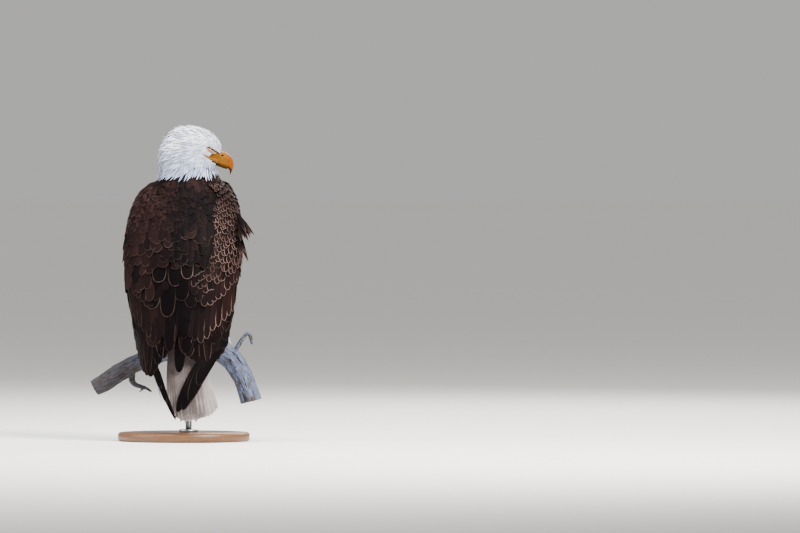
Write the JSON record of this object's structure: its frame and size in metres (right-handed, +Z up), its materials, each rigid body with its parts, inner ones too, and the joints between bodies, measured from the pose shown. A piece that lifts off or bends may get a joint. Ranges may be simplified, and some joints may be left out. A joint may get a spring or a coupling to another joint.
{
  "type": "perched bald eagle model",
  "caption": "Life-size still model of an adult bald eagle looking over its right shoulder, perched on a cut length of bare branch on a rod and oval base.",
  "frame": {"origin": "centre of the stand's flat underside", "axes": "+Z up, +Y the way the breast faces, +X the bird's own right side"},
  "size_m": [0.433, 0.3096, 0.7885],
  "materials": {
    "white_feathers": "soft layered contour feathers, matt",
    "brown_feathers": "dark brown contour feathers with thin pale edges, slightly glossy",
    "dark_flight_feathers": "blackish brown flight feathers, slightly glossy",
    "bill_horn": "orange-yellow horn, satin",
    "leg_skin": "yellow scaled skin, satin",
    "claw_horn": "black horn, polished",
    "eye_glass": "pale yellow iris under a clear polished dome",
    "bark": "weathered blue-grey bare wood, matt",
    "stand_wood": "dark stained wood, satin",
    "stand_steel": "black painted steel, satin"
  },
  "bodies": {
    "root": {"head": "white_feathers", "neck": "white_feathers", "tail": "white_feathers", "trunk": "brown_feathers", "wing_left": "brown_feathers", "wing_right": "brown_feathers", "thigh_left": "brown_feathers", "thigh_right": "brown_feathers", "primaries_left": "dark_flight_feathers", "primaries_right": "dark_flight_feathers", "bill_upper": "bill_horn", "bill_lower": "bill_horn", "eye_left": "eye_glass", "eye_right": "eye_glass", "foot_left": "leg_skin", "foot_right": "leg_skin", "perch": "bark", "stand_base": "stand_wood", "stand_collar": "stand_steel", "stand_rod": "stand_steel", "claw_left_inner": "claw_horn", "claw_left_middle": "claw_horn", "claw_left_outer": "claw_horn", "claw_left_hind": "claw_horn", "claw_right_inner": "claw_horn", "claw_right_middle": "claw_horn", "claw_right_outer": "claw_horn", "claw_right_hind": "claw_horn"}
  },
  "joints": []
}
